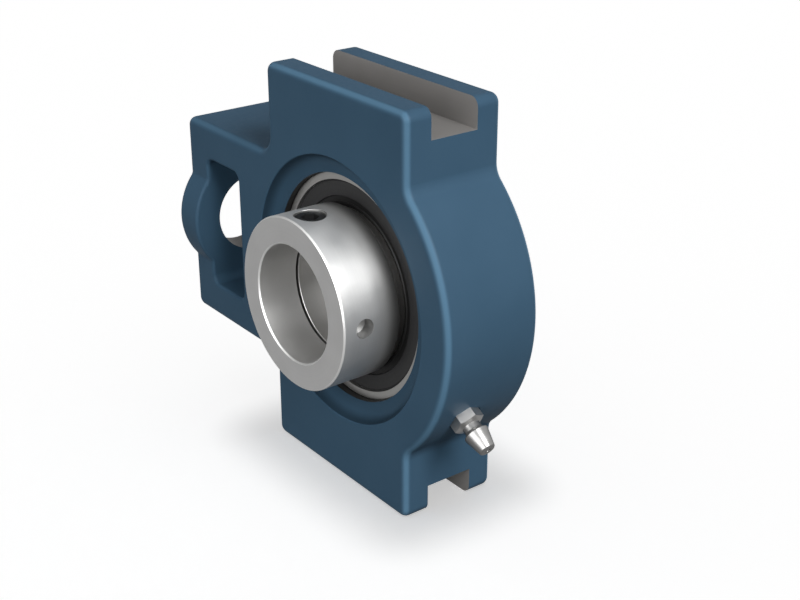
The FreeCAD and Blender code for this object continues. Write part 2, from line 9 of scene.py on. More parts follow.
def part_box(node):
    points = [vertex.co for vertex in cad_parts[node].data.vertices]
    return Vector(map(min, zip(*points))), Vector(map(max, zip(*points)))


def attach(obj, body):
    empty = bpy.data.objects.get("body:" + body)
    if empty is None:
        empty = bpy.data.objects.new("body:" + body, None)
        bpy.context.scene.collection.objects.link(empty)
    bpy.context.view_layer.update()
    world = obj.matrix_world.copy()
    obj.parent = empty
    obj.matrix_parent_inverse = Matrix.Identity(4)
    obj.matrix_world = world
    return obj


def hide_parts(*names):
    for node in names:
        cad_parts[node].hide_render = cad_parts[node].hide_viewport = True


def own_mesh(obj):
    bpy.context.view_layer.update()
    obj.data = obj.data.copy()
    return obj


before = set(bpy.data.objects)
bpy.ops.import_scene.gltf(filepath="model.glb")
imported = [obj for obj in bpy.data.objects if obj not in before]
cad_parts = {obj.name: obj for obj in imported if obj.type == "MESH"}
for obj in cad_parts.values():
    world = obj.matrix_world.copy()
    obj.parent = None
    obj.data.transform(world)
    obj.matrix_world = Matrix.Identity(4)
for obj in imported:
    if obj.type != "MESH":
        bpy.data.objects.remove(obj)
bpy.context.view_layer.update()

# The housing is one iron casting, painted satin blue all over. The guide grooves for the rails, the hole for
# the take up screw, the insert's seat and the nipple's tapped hole are machined after painting and stay bare.
# Sizes are in millimetres, and MM turns them into the frame's metres.
MM = 0.001
BLOCK_SIDE = 28.7
BLOCK_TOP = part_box("housing")[1].z / MM
ARM_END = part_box("housing")[0].x / MM
ARM_TOP = 28.5
HALF_BODY = 14
NOSE_RADIUS = 44.2
NOSE_BLEND = 5
CORNER_ROUND = 2.5
INNER_CORNER = 5
EDGE_ROUND = 2
GUIDE_FLOOR = 45
HALF_GUIDE = 6.75
END_WALL = 10
SLOT_WIDTH = 16
SLOT_LEFT = ARM_END + END_WALL
SLOT_RIGHT = SLOT_LEFT + SLOT_WIDTH
HALF_SLOT = 18.5
SLOT_ROUND = 1
BOSS_RADIUS = 18.5
BOSS_BLEND = 2
SCREW_HOLE = 11
RING_RADIUS = 31
SEAT_PLAY = 0.03
SEAT_MOUTH = 29.6
RECESS_MOUTH = 34.65
RECESS_FLOOR = 10.8
RECESS_CURVE = 4.5
RECESS_LIP = 0.15
FILLING_HALF = 9.25
NIPPLE_ANGLE = math.radians(-30.5)
NIPPLE_PLACE = -3.2
SPOT_DEPTH = 0.2
NIPPLE_SEAT = NOSE_RADIUS - SPOT_DEPTH
SPOT_FACE = 4.4
TAPPED_RADIUS = 3.03
TAPPED_DEPTH = 7
GREASE_PASSAGE = 1.5
OVERLAP = 1
ARC_STEP = 3
FINE_STEP = 1
FINE_RADIUS = 30
PAINT_BLUE = (0.029, 0.063, 0.101, 1)
PAINT_PALE = (0.038, 0.078, 0.122, 1)
PAINT_RIM_HIGHLIGHT = (0.06, 0.125, 0.19, 1)
PAINT_RECESS_SHADE = (0.01, 0.02, 0.031, 1)
IRON_GREY = (0.24, 0.232, 0.225, 1)
IRON_DARK = (0.18, 0.174, 0.168, 1)
SEAT_SHADE = (0.012, 0.012, 0.012, 1)


def arc(centre, radius, start, stop):
    """Points of an arc and their outward normals, as rows (x, z, nx, nz), with x = cx + r cos a and
    z = cz + r sin a. It is convex where the angle grows. Where it falls, the arc is hollow and its normals
    point to the centre."""
    count = max(2, round(abs(stop - start) / (ARC_STEP if radius < FINE_RADIUS else FINE_STEP)) + 1)
    angle = np.radians(np.linspace(start, stop, count))
    radial = np.stack([np.cos(angle), np.sin(angle)], 1)
    return np.hstack([np.array(centre) + radius * radial, radial * np.sign(stop - start)])


def new_piece(name, points, faces):
    """A mesh object from points in millimetres. Doubles are merged, normals point outwards and sharp edges
    stay crisp."""
    mesh = bpy.data.meshes.new(name)
    mesh.from_pydata((np.asarray(points) * MM).tolist(), [], faces)
    work = bmesh.new()
    work.from_mesh(mesh)
    bmesh.ops.remove_doubles(work, verts=work.verts, dist=0.001 * MM)
    bmesh.ops.recalc_face_normals(work, faces=work.faces)
    work.to_mesh(mesh)
    work.free()
    piece = bpy.data.objects.new(name, mesh)
    bpy.context.scene.collection.objects.link(piece)
    soften(piece)
    return piece


def soften(piece, smooth_angle=30):
    """Shades the piece smooth, apart from edges that turn more than the angle."""
    mesh = piece.data
    mesh.shade_smooth()
    mesh.set_sharp_from_angle(angle=math.radians(smooth_angle))


def grid_faces(rows, columns, closed=False):
    """Quads of a grid of points. Each row joins up round its axis, and the last row joins the first where
    the profile is closed."""
    row = np.arange(rows if closed else rows - 1)[:, None]
    column = np.arange(columns)[None, :]
    below, beside = (row + 1) % rows, (column + 1) % columns
    quads = np.stack(np.broadcast_arrays(row * columns + column, row * columns + beside,
                                         below * columns + beside, below * columns + column), -1)
    return quads.reshape(-1, 4).tolist()


def closing_faces(rows, columns):
    """Two flat faces, over the first and the last row of a grid of points."""
    return [list(range(columns)), list(range((rows - 1) * columns, rows * columns))]


def extrude_outline(name, outline, rim, to_space):
    """Carries an outline along a rim profile of rows (inset, depth): the point is p - inset * n at that
    depth. Flat faces close both ends. to_space turns (x, z, depth) into the frame."""
    inset, depth = np.asarray(rim, float).T
    flat = outline[None, :, :2] - inset[:, None, None] * outline[None, :, 2:]
    level = np.broadcast_to(depth[:, None], flat.shape[:2])
    points = to_space(flat[..., 0], flat[..., 1], level).reshape(-1, 3)
    return new_piece(name, points, grid_faces(*flat.shape[:2]) + closing_faces(*flat.shape[:2]))


def along_y(x, z, depth):
    """An outline in x and z, carried along Y."""
    return np.stack([x, depth, z], -1)


def along_x(y, z, depth):
    """An outline in y and z, carried along X."""
    return np.stack([depth, y, z], -1)


def rounded_rim(radius, low, high):
    """Rows (inset, depth) of a wall from low to high whose two rims are quarter circles, with the inset
    r (1 - sin a) at the rise r (1 - cos a)."""
    turn = np.radians(np.linspace(0, 90, 7))
    inset, rise = radius * (1 - np.sin(turn)), radius * (1 - np.cos(turn))
    return list(zip(inset, low + rise)) + list(zip(inset[::-1], high - rise[::-1]))


def turn_profile(name, profile, spin_axis="Y", count=180, closed=True):
    """A surface of revolution: each row (radius, place) of the profile becomes a circle of points
    (r cos a, r sin a) round X, Y, Z or the nipple's axis. A row of radius 0 closes it as a pole."""
    radius, place = np.asarray(profile, float).T
    angle = np.linspace(0, 2 * math.pi, count, endpoint=False)
    across, up = radius[:, None] * np.cos(angle), radius[:, None] * np.sin(angle)
    level = np.broadcast_to(place[:, None], across.shape)
    if spin_axis == "Y":
        points = np.stack([across, level, up], -1)
    elif spin_axis == "Z":
        points = np.stack([across, up, level], -1)
    elif spin_axis == "X":
        points = np.stack([level, across, up], -1)
    else:
        points = on_nipple_axis(across, up, level)
    return new_piece(name, points.reshape(-1, 3), grid_faces(len(profile), count, closed))


def on_nipple_axis(across, up, level):
    """Turns (across, up, level) so that level runs along the nipple's axis, away from the bearing: the point
    is level * out + up * side + across * Y, moved to the nipple's place along Y."""
    out = np.array([math.cos(NIPPLE_ANGLE), 0, math.sin(NIPPLE_ANGLE)])
    side = np.array([-math.sin(NIPPLE_ANGLE), 0, math.cos(NIPPLE_ANGLE)])
    return (level[..., None] * out + up[..., None] * side
            + across[..., None] * np.array([0, 1, 0]) + np.array([0, NIPPLE_PLACE, 0]))


def apply_modifiers(piece):
    """Turns the piece and its modifiers into one plain mesh."""
    graph = bpy.context.evaluated_depsgraph_get()
    result = bpy.data.meshes.new_from_object(piece.evaluated_get(graph))
    piece.modifiers.clear()
    piece.data = result


def combine(piece, other, operation="DIFFERENCE"):
    """Cuts the other mesh out of the piece, joins it on, or keeps what both share, and deletes it."""
    modifier = piece.modifiers.new("combine", "BOOLEAN")
    modifier.operation = operation
    modifier.solver = "EXACT"
    modifier.object = other
    apply_modifiers(piece)
    bpy.data.objects.remove(other)


class Link:
    """An output of a node. Operators on it add Math nodes, with numbers on either side."""

    def __init__(self, shading, socket):
        self.shading = shading
        self.socket = socket

    def math(self, operation, *values):
        return self.shading.add("ShaderNodeMath", {"operation": operation}, *values)

    def __add__(self, other):
        return self.math("ADD", self, other)

    __radd__ = __add__

    def __sub__(self, other):
        return self.math("SUBTRACT", self, other)

    def __rsub__(self, other):
        return self.math("SUBTRACT", other, self)

    def __mul__(self, other):
        return self.math("MULTIPLY", self, other)

    __rmul__ = __mul__

    def __pow__(self, other):
        return self.math("POWER", self, other)

    def __abs__(self):
        return self.math("ABSOLUTE", self)

    def __lt__(self, other):
        return self.math("LESS_THAN", self, other)

    def __gt__(self, other):
        return self.math("GREATER_THAN", self, other)

    def at_least(self, number):
        return self.math("MAXIMUM", self, number)


class Shading:
    """A node tree of a material or of the world, and the ways to add to it."""

    def __init__(self, tree):
        self.tree = tree

    def add(self, kind, settings=None, *values, out=0, **named):
        """Adds a node. Settings come first, then its sockets' values or links."""
        node = self.tree.nodes.new(kind)
        for name, given in (settings or {}).items():
            setattr(node, name, given)
        for key, given in [*enumerate(values), *named.items()]:
            self.feed(node.inputs[key], given)
        return Link(self, node.outputs[out])

    def feed(self, socket, given):
        """Links a socket to another node's output, or gives it a value."""
        if isinstance(given, Link):
            self.tree.links.new(given.socket, socket)
        else:
            socket.default_value = given

    def other(self, link, out):
        """Another output of the same node."""
        return Link(self, link.socket.node.outputs[out])

    def ramp(self, number, low, high):
        """0 below low and 1 above high, in a smooth step between them."""
        return self.add("ShaderNodeMapRange", {"interpolation_type": "SMOOTHSTEP"}, number, low, high)


class Finish(Shading):
    """A procedural material. Its patterns read Object coordinates, in metres."""

    def __init__(self, name, numbers):
        self.material = bpy.data.materials.new(name)
        self.material.use_nodes = True
        super().__init__(self.material.node_tree)
        self.surface = self.tree.nodes["Principled BSDF"]
        for socket, number in numbers.items():
            self.surface.inputs[socket].default_value = number
        self.place = self.add("ShaderNodeTexCoord", out="Object")
        self.x = self.add("ShaderNodeSeparateXYZ", None, self.place)
        self.y, self.z = (self.other(self.x, axis) for axis in "YZ")
        self.radius = (self.x * self.x + self.z * self.z) ** 0.5

    def mix(self, share, first, second):
        """The first and second colours, blended by share."""
        mixed = self.add("ShaderNodeMix", {"data_type": "RGBA"}, share, out=2)
        self.feed(mixed.socket.node.inputs[6], first)
        self.feed(mixed.socket.node.inputs[7], second)
        return mixed

    def noise(self, scale, detail=2, place=None):
        """Clouds of the given number to the metre, on the piece's own place or on another."""
        return self.add("ShaderNodeTexNoise", None, Vector=place or self.place, Scale=scale, Detail=detail)

    def at(self, x, y, z):
        """A place of its own for a noise, which then runs into streaks or rings."""
        return self.add("ShaderNodeCombineXYZ", None, x, y, z)

    def rings(self, fine):
        """Turned marks round the Y axis: a noise of the radius and the place along the axis."""
        return self.noise(1, detail=3, place=self.at(self.radius * fine, self.y * fine, 0))

    def set(self, socket, link):
        """Links one of the surface's sockets."""
        self.feed(self.surface.inputs[socket], link)

    def bump(self, height, distance, strength=1):
        """Raises the surface's shading by the height, of which 1 stands for the distance in metres."""
        bumped = self.add("ShaderNodeBump", None, Height=height, Distance=distance, Strength=strength)
        self.set("Normal", bumped)


def sphere_rows(radius, low, high, count):
    """Rows (radius, place) of a sphere's middle band between two places, at r = sqrt(R^2 - place^2)."""
    place = np.linspace(low, high, count)
    return list(zip(np.sqrt(radius**2 - place**2), place))


def bowl_rows(mouth, lip, depth, end, curve):
    """Rows of the recess's curved wall from the mouth to the lip, a hollow arc of the given radius. Its
    centre lies beside the middle of the chord c, at the distance sqrt(curve^2 - c^2 / 4)."""
    first, last = np.array([mouth, depth], float), np.array([lip, end], float)
    chord = last - first
    side = np.array([-chord[1], chord[0]]) / np.linalg.norm(chord) * np.sign(depth) * -1
    centre = (first + last) / 2 + side * math.sqrt(curve**2 - (chord @ chord) / 4)
    start, stop = (math.atan2(*(point - centre)[::-1]) for point in (first, last))
    angle = np.linspace(start, stop, 13)
    return [(centre[0] + curve * math.cos(a), centre[1] + curve * math.sin(a)) for a in angle]


blend_height = math.sqrt((NOSE_RADIUS + NOSE_BLEND) ** 2 - (BLOCK_SIDE + NOSE_BLEND) ** 2)
nose_half = math.degrees(math.atan2(blend_height, BLOCK_SIDE + NOSE_BLEND))
upper_half = [
    arc((0, 0), NOSE_RADIUS, 0, nose_half),
    arc((BLOCK_SIDE + NOSE_BLEND, blend_height), NOSE_BLEND, 180 + nose_half, 180),
    arc((BLOCK_SIDE - CORNER_ROUND, BLOCK_TOP - CORNER_ROUND), CORNER_ROUND, 0, 90),
    arc((CORNER_ROUND - BLOCK_SIDE, BLOCK_TOP - CORNER_ROUND), CORNER_ROUND, 90, 180),
    arc((-BLOCK_SIDE - INNER_CORNER, ARM_TOP + INNER_CORNER), INNER_CORNER, 0, -90),
    arc((ARM_END + CORNER_ROUND, ARM_TOP - CORNER_ROUND), CORNER_ROUND, 90, 180),
]
upper = np.vstack(upper_half)
casting_outline = np.vstack([upper, (upper * [1, -1, 1, -1])[:0:-1]])
housing = extrude_outline("housing_casting", casting_outline, rounded_rim(EDGE_ROUND, -HALF_BODY, HALF_BODY),
                          along_y)

# The boss is a short round lobe on both faces of the screw end, blended into them by a small hollow curve,
# which ends a hair inside the face. Only its outer end is rounded.
boss_face = HALF_BODY - 0.02
blend_up = math.sqrt((BOSS_RADIUS + BOSS_BLEND) ** 2 - (boss_face + BOSS_BLEND) ** 2)
boss_half = math.degrees(math.atan2(blend_up, boss_face + BOSS_BLEND))
quarter = np.vstack([
    arc((0, 0), BOSS_RADIUS, 0, boss_half),
    arc((boss_face + BOSS_BLEND, blend_up), BOSS_BLEND, 180 + boss_half, 180)[:-1],
])
boss_outline = np.vstack([quarter, (quarter * [-1, 1, -1, 1])[::-1], quarter[1:] * [-1, -1, -1, -1],
                          (quarter * [1, -1, 1, -1])[:0:-1]])
both_rims = rounded_rim(EDGE_ROUND, ARM_END, SLOT_LEFT + 2 * OVERLAP)
boss_rim = both_rims[:len(both_rims) // 2] + [(0, SLOT_LEFT + OVERLAP)]
boss = extrude_outline("boss", boss_outline, boss_rim, along_x)
combine(housing, boss, "UNION")

slot_middle = (SLOT_LEFT + SLOT_RIGHT) / 2
slot_reach = (SLOT_RIGHT - SLOT_LEFT) / 2 - CORNER_ROUND
slot_height = HALF_SLOT - CORNER_ROUND
slot_outline = np.vstack([
    arc((slot_middle + slot_reach, slot_height), CORNER_ROUND, 0, 90),
    arc((slot_middle - slot_reach, slot_height), CORNER_ROUND, 90, 180),
    arc((slot_middle - slot_reach, -slot_height), CORNER_ROUND, 180, 270),
    arc((slot_middle + slot_reach, -slot_height), CORNER_ROUND, 270, 360),
])
wall = BOSS_RADIUS + OVERLAP
combine(housing, extrude_outline("nut_slot", slot_outline, [(0, -wall), (0, wall)], along_y))

hole_outline = arc((0, 0), SCREW_HOLE, 0, 360 - ARC_STEP)
hole_span = [(0, ARM_END - OVERLAP), (0, SLOT_LEFT + OVERLAP)]
combine(housing, extrude_outline("screw_hole", hole_outline, hole_span, along_x))

square = np.array([[1, 1], [-1, 1], [-1, -1], [1, -1]], float)
for way in (1, -1):
    middle = (BLOCK_TOP + OVERLAP + GUIDE_FLOOR) / 2
    box_outline = square * [HALF_GUIDE, (BLOCK_TOP + OVERLAP - GUIDE_FLOOR) / 2] + [0, way * middle]
    guide = extrude_outline("guide", np.hstack([box_outline, np.zeros((4, 2))]),
                            [(0, -BLOCK_SIDE - OVERLAP), (0, BLOCK_SIDE + OVERLAP)], along_x)
    combine(housing, guide)

# The recess has the same form on both faces, with the spherical seat between. The rim's small lip takes the
# place of the bowl's first two rows.
seat_radius = RING_RADIUS + SEAT_PLAY
seat_end = math.sqrt(seat_radius**2 - SEAT_MOUTH**2)
front_bowl = bowl_rows(RECESS_MOUTH, SEAT_MOUTH, -HALF_BODY, -RECESS_FLOOR, RECESS_CURVE)
seat_rows = sphere_rows(seat_radius, -seat_end, seat_end, 25)
recess_profile = [
    (0, -HALF_BODY - OVERLAP), (RECESS_MOUTH + OVERLAP + RECESS_LIP, -HALF_BODY - OVERLAP),
    (RECESS_MOUTH + RECESS_LIP, -HALF_BODY), (RECESS_MOUTH, -HALF_BODY + RECESS_LIP),
    *front_bowl[2:], *seat_rows, *[(radius, -place) for radius, place in front_bowl[:1:-1]],
    (RECESS_MOUTH, HALF_BODY - RECESS_LIP), (RECESS_MOUTH + RECESS_LIP, HALF_BODY),
    (RECESS_MOUTH + OVERLAP + RECESS_LIP, HALF_BODY + OVERLAP), (0, HALF_BODY + OVERLAP),
]
combine(housing, turn_profile("recess", recess_profile, closed=False))

# Two filling slots at the back let the insert in edgeways before it is swivelled square.
filling_half = math.degrees(math.asin(FILLING_HALF / seat_radius))
filling_outline = np.vstack([arc((0, 0), seat_radius, -filling_half, filling_half),
                             arc((0, 0), seat_radius, 180 - filling_half, 180 + filling_half)])
combine(housing, extrude_outline("filling", filling_outline, [(0, 0), (0, HALF_BODY)], along_y))

# The nipple sits on a spot face with a tapped hole, whose end is a 45 degree cone down to the grease passage.
tapped_end = NIPPLE_SEAT - TAPPED_DEPTH
cone_end = tapped_end - (TAPPED_RADIUS - GREASE_PASSAGE)
nipple_hole_rows = [
    (0, SEAT_MOUTH), (GREASE_PASSAGE, SEAT_MOUTH), (GREASE_PASSAGE, cone_end), (TAPPED_RADIUS, tapped_end),
    (TAPPED_RADIUS, NIPPLE_SEAT), (SPOT_FACE, NIPPLE_SEAT), (SPOT_FACE, NOSE_RADIUS + OVERLAP),
    (0, NOSE_RADIUS + OVERLAP),
]
combine(housing, turn_profile("nipple_hole", nipple_hole_rows, spin_axis="nipple", closed=False))
soften(housing)


def round_sharp(piece, chosen, width, segments=3):
    """Rounds the sharp edges whose middles, in millimetres, are chosen."""
    mesh = piece.data
    points = np.empty(len(mesh.vertices) * 3)
    pairs = np.empty(len(mesh.edges) * 2, dtype=np.int32)
    sharp = np.empty(len(mesh.edges), dtype=bool)
    mesh.vertices.foreach_get("co", points)
    mesh.edges.foreach_get("vertices", pairs)
    mesh.attributes["sharp_edge"].data.foreach_get("value", sharp)
    middle = points.reshape(-1, 3)[pairs.reshape(-1, 2)].mean(1) / MM
    weight = mesh.attributes.new("bevel_weight_edge", "FLOAT", "EDGE")
    weight.data.foreach_set("value", (sharp & chosen(*middle.T)).astype(np.float32))
    modifier = piece.modifiers.new("round", "BEVEL")
    modifier.limit_method = "WEIGHT"
    modifier.width = width * MM
    modifier.segments = segments
    modifier.use_clamp_overlap = False
    apply_modifiers(piece)
    soften(piece)


def on_slot_mouth(x, y, z):
    """Which places lie on the nut slot's edges at the housing's two faces."""
    margin = 0.1
    in_slot = (x > SLOT_LEFT - margin) & (x < SLOT_RIGHT + margin) & (abs(z) < HALF_SLOT + margin)
    return in_slot & (abs(y) > HALF_BODY - margin)


round_sharp(housing, on_slot_mouth, SLOT_ROUND)


def bare_faces(mesh):
    """Which faces of the casting are machined, from where their middles lie."""
    middle = np.empty(len(mesh.polygons) * 3)
    facing = np.empty(len(mesh.polygons) * 3)
    mesh.polygons.foreach_get("center", middle)
    mesh.polygons.foreach_get("normal", facing)
    x, y, z = middle.reshape(-1, 3).T / MM
    margin = 0.05
    along_travel = abs(facing[::3]) < 0.5
    guide = (abs(y) < HALF_GUIDE + margin) & (abs(z) > GUIDE_FLOOR - margin) & along_travel
    screw = (np.hypot(y, z) < SCREW_HOLE + margin) & (x < SLOT_LEFT - margin) & along_travel
    seat = (np.hypot(x, z) < seat_radius + margin) & (abs(y) < seat_end + margin)
    lip = (np.hypot(x, z) < SEAT_MOUTH + margin) & (abs(y) < RECESS_FLOOR)
    out = x * math.cos(NIPPLE_ANGLE) + z * math.sin(NIPPLE_ANGLE)
    off = np.hypot(y - NIPPLE_PLACE, z * math.cos(NIPPLE_ANGLE) - x * math.sin(NIPPLE_ANGLE))
    tapped = (off < SPOT_FACE) & (out > 0) & (out < NIPPLE_SEAT - margin)
    return guide | screw | seat | lip | tapped


# The paint carries a painted highlight along the rounded rims, weaker on the arm, and painted shade in the
# recess.
paint = Finish("satin_blue_paint", {"Metallic": 0, "Specular IOR Level": 0.05})
mottle = paint.noise(60, detail=3)
grain = paint.noise(900, detail=3)
swell = paint.noise(180, detail=2)
past_face = abs(paint.y) * (1 / MM) - HALF_BODY
# A painted highlight along the rounded rims, weaker on the arm and left off beside the recess and the slot.
rim_highlight = paint.ramp(past_face, -1.7, -0.9) * (1 - paint.ramp(past_face, -0.5, -0.02))
beyond_recess = paint.ramp(paint.radius, (RECESS_MOUTH + 2.35) * MM, (RECESS_MOUTH + 4.35) * MM)
off_arm = 0.45 + 0.55 * paint.ramp(paint.x, -0.035, -0.02)
by_slot = (abs(paint.z) < (HALF_SLOT + 1) * MM) * (paint.x < (SLOT_RIGHT + 2) * MM)
rim_highlight = rim_highlight * beyond_recess * off_arm * (1 - by_slot)
with_rim_highlight = paint.mix(rim_highlight, paint.mix(mottle, PAINT_BLUE, PAINT_PALE), PAINT_RIM_HIGHLIGHT)
# Painted shade in the recess, darkest at its mouth.
in_recess = paint.radius < (RECESS_MOUTH - 0.05) * MM
recess_shade = in_recess * (0.25 + 0.55 * paint.ramp(paint.radius, (RECESS_MOUTH - 2.2) * MM, RECESS_MOUTH * MM))
paint.set("Base Color", paint.mix(recess_shade, with_rim_highlight, PAINT_RECESS_SHADE))
paint.set("Roughness", 0.36 + 0.14 * grain)
paint.bump(0.6 * swell + 0.4 * grain, distance=0.00006, strength=0.5)

# The machined faces are milled along the travel, and the insert's seat is painted nearly black, as painted
# shade in the gap round the ring.
iron = Finish("bare_machined_iron", {"Metallic": 0.3})
milled = iron.noise(1, detail=4, place=iron.at(iron.x * 60, iron.y * 2600, iron.z * 2600))
clouds = iron.noise(120, detail=3)
iron_tone = iron.mix(0.5 * milled + 0.5 * clouds, IRON_DARK, IRON_GREY)
# Painted shade: the seat and its lip are nearly black.
iron.set("Base Color", iron.mix(iron.radius < seat_radius * 1.01 * MM, iron_tone, SEAT_SHADE))
iron.set("Roughness", 0.4 + 0.2 * milled)
iron.bump(milled, distance=0.00002, strength=0.4)

housing.data.materials.clear()
housing.data.materials.append(paint.material)
housing.data.materials.append(iron.material)
housing.data.polygons.foreach_set("material_index", bare_faces(housing.data).astype(np.int32))
weighted = housing.modifiers.new("even_shading", "WEIGHTED_NORMAL")
weighted.keep_sharp = True
weighted.weight = 100
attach(housing, "housing")
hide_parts("housing")


# The outer ring is ground bearing steel with a spherical outside. Only its narrow face and chamfer show in
# the recess, and fine grinding marks run round them.
RING_FACE = 29.265
RING_HALF = 9
RING_CHAMFER = 0.4
SEAL_SEAT = 27.5
SEAL_FLOOR = 7.4
OUTER_LAND = 25.6
RACE_RADIUS = 4.953
OUTER_RACE_CENTRE = 22.83
STEEL_LIGHT = (0.5, 0.495, 0.48, 1)
STEEL_DARK = (0.4, 0.395, 0.385, 1)


def race_rows(centre, land, way):
    """Rows of a race, a hollow arc between the two edges where it meets the land, at the radius
    centre + way * R cos a and the place R sin a. way is 1 on the outer ring and -1 on the inner one."""
    half = math.acos((land - centre) / RACE_RADIUS * way)
    angle = np.linspace(half, -half, 25)
    return [(centre + way * RACE_RADIUS * math.cos(a), RACE_RADIUS * math.sin(a)) for a in angle]


sphere_end = RING_HALF - RING_CHAMFER
ring_profile = [
    (RING_FACE, -RING_HALF), *sphere_rows(RING_RADIUS, -sphere_end, sphere_end, 33), (RING_FACE, RING_HALF),
    (SEAL_SEAT, RING_HALF), (SEAL_SEAT, SEAL_FLOOR), (OUTER_LAND, SEAL_FLOOR),
    *race_rows(OUTER_RACE_CENTRE, OUTER_LAND, 1), (OUTER_LAND, -SEAL_FLOOR), (SEAL_SEAT, -SEAL_FLOOR),
    (SEAL_SEAT, -RING_HALF),
]
outer_ring = turn_profile("outer_ring_steel", ring_profile)
ring_steel = Finish("ground_ring_steel", {"Metallic": 0.85})
turning = ring_steel.rings(4200)
ring_steel.set("Base Color", ring_steel.mix(turning, STEEL_DARK, STEEL_LIGHT))
ring_steel.set("Roughness", 0.28 + 0.16 * turning)
ring_steel.bump(turning, distance=0.00001, strength=0.35)
outer_ring.data.materials.append(ring_steel.material)
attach(outer_ring, "insert")
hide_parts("outer_ring")


# The inner ring grips the shaft. Its bore shows behind the dark gap inside the collar, and its long side ends
# in a cam, a short cylinder off the shaft's centre.
BORE = 15
EDGE_BREAK = 0.3
FRONT_BREAK = 0.1
INNER_LAND = 20.3
INNER_RACE_CENTRE = 23.17
SHOULDER = 9.6
CAM_END = 14.8
CAM_RADIUS = 17.5
CAM_OFFSET = 0.8


def shift_cam(piece, radius):
    """Moves the circles of the cam off the shaft's centre: points beyond the shoulder, outside the bore.
    Each goes up by the cam's offset."""
    points = np.empty(len(piece.data.vertices) * 3)
    piece.data.vertices.foreach_get("co", points)
    points = points.reshape(-1, 3)
    place, reach = points[:, 1] / MM, np.hypot(points[:, 0], points[:, 2]) / MM
    outside = (place < -SHOULDER + 0.01) & (abs(reach - radius) < 2 * EDGE_BREAK)
    points[outside, 2] += CAM_OFFSET * MM
    piece.data.vertices.foreach_set("co", points.ravel())


inner_profile = [
    (BORE + FRONT_BREAK, -CAM_END), (CAM_RADIUS - EDGE_BREAK, -CAM_END), (CAM_RADIUS, -CAM_END + EDGE_BREAK),
    (CAM_RADIUS, -SHOULDER), (INNER_LAND - EDGE_BREAK, -SHOULDER), (INNER_LAND, -SHOULDER + EDGE_BREAK),
    *race_rows(INNER_RACE_CENTRE, INNER_LAND, -1)[::-1], (INNER_LAND, RING_HALF - EDGE_BREAK),
    (INNER_LAND - EDGE_BREAK, RING_HALF), (BORE + EDGE_BREAK, RING_HALF), (BORE, RING_HALF - EDGE_BREAK),
    (BORE, -CAM_END + FRONT_BREAK),
]
inner_ring = turn_profile("inner_ring_steel", inner_profile)
shift_cam(inner_ring, CAM_RADIUS)
inner_ring.data.materials.append(ring_steel.material)
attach(inner_ring, "inner_ring")
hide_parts("inner_ring")


# The balls are polished steel and snap into the open pockets of a pale nylon cage, moulded in one piece. All
# are closed in behind the seals, so the frame's own solids stay.
BALL_BRIGHT = (0.78, 0.78, 0.78, 1)
NYLON_DARK = (0.62, 0.56, 0.42, 1)
NYLON_PALE = (0.7, 0.65, 0.52, 1)
ball_steel = Finish("polished_ball_steel", {"Metallic": 1.0})
ball_haze = ball_steel.noise(700)
ball_steel.set("Base Color", ball_steel.mix(ball_haze, STEEL_LIGHT, BALL_BRIGHT))
ball_steel.set("Roughness", 0.08 + 0.08 * ball_haze)
nylon = Finish("moulded_nylon", {"Roughness": 0.5})
nylon_haze = nylon.noise(400, detail=3)
nylon.set("Base Color", nylon.mix(nylon_haze, NYLON_DARK, NYLON_PALE))
nylon.bump(nylon_haze, distance=0.00002, strength=0.4)


def dress(node, finish):
    """Gives a solid of the frame its material."""
    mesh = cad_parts[node].data
    mesh.materials.clear()
    mesh.materials.append(finish.material)


dress("cage", nylon)
for ball in [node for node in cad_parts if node.startswith("ball_")]:
    dress(ball, ball_steel)


# Each seal is a moulded black rubber ring, pressed into the outer ring by its bead. Its middle is dished and
# painted darker, as painted shade beside the collar, and a raised ridge there shows as a thin grey line in
# that dark band.
SEAL_BEAD = 27.45
SEAL_FACE = 8.4
SEAL_INSIDE = 7.45
BEAD_WIDTH = 0.33
BEAD_GROOVE = 0.3
DISH_EDGE = 23.2
DISH_FLOOR = 7.9
RIDGE_RADIUS = 21.4
RIDGE_HEIGHT = 0.35
RIDGE_HALF = 0.25
LIP_TIP = 20.5
RUBBER = (0.014, 0.014, 0.0145, 1)
RUBBER_PALE = (0.024, 0.024, 0.025, 1)
RUBBER_DISH_SHADE = (0.004, 0.004, 0.004, 1)


def round_corners(corners, steps=5):
    """Rounds the corners of a closed profile of rows (radius, place, rounding). The arc at a corner touches
    its two sides, so it starts d = r / tan(half the corner's angle) before the corner."""
    rows = []
    for (ax, ay, _), (bx, by, rounding), (cx, cy, _) in zip(corners[-1:] + corners[:-1], corners,
                                                         corners[1:] + corners[:1]):
        corner = np.array([bx, by], float)
        if rounding == 0:
            rows.append(corner)
            continue
        back, on = np.array([ax, ay]) - corner, np.array([cx, cy]) - corner
        back, on = back / np.linalg.norm(back), on / np.linalg.norm(on)
        half = math.acos(float(np.clip(back @ on, -1, 1))) / 2
        middle = (back + on) / np.linalg.norm(back + on)
        centre = corner + middle * rounding / math.sin(half)
        start, stop = (corner + way * rounding / math.tan(half) - centre for way in (back, on))
        share = np.linspace(0, 1, steps + 1)[:, None]
        spread = math.pi / 2 - half
        weights = np.sin((1 - share) * 2 * spread), np.sin(share * 2 * spread)
        rows.extend(centre + (start * weights[0] + stop * weights[1]) / math.sin(2 * spread))
    return np.array(rows)


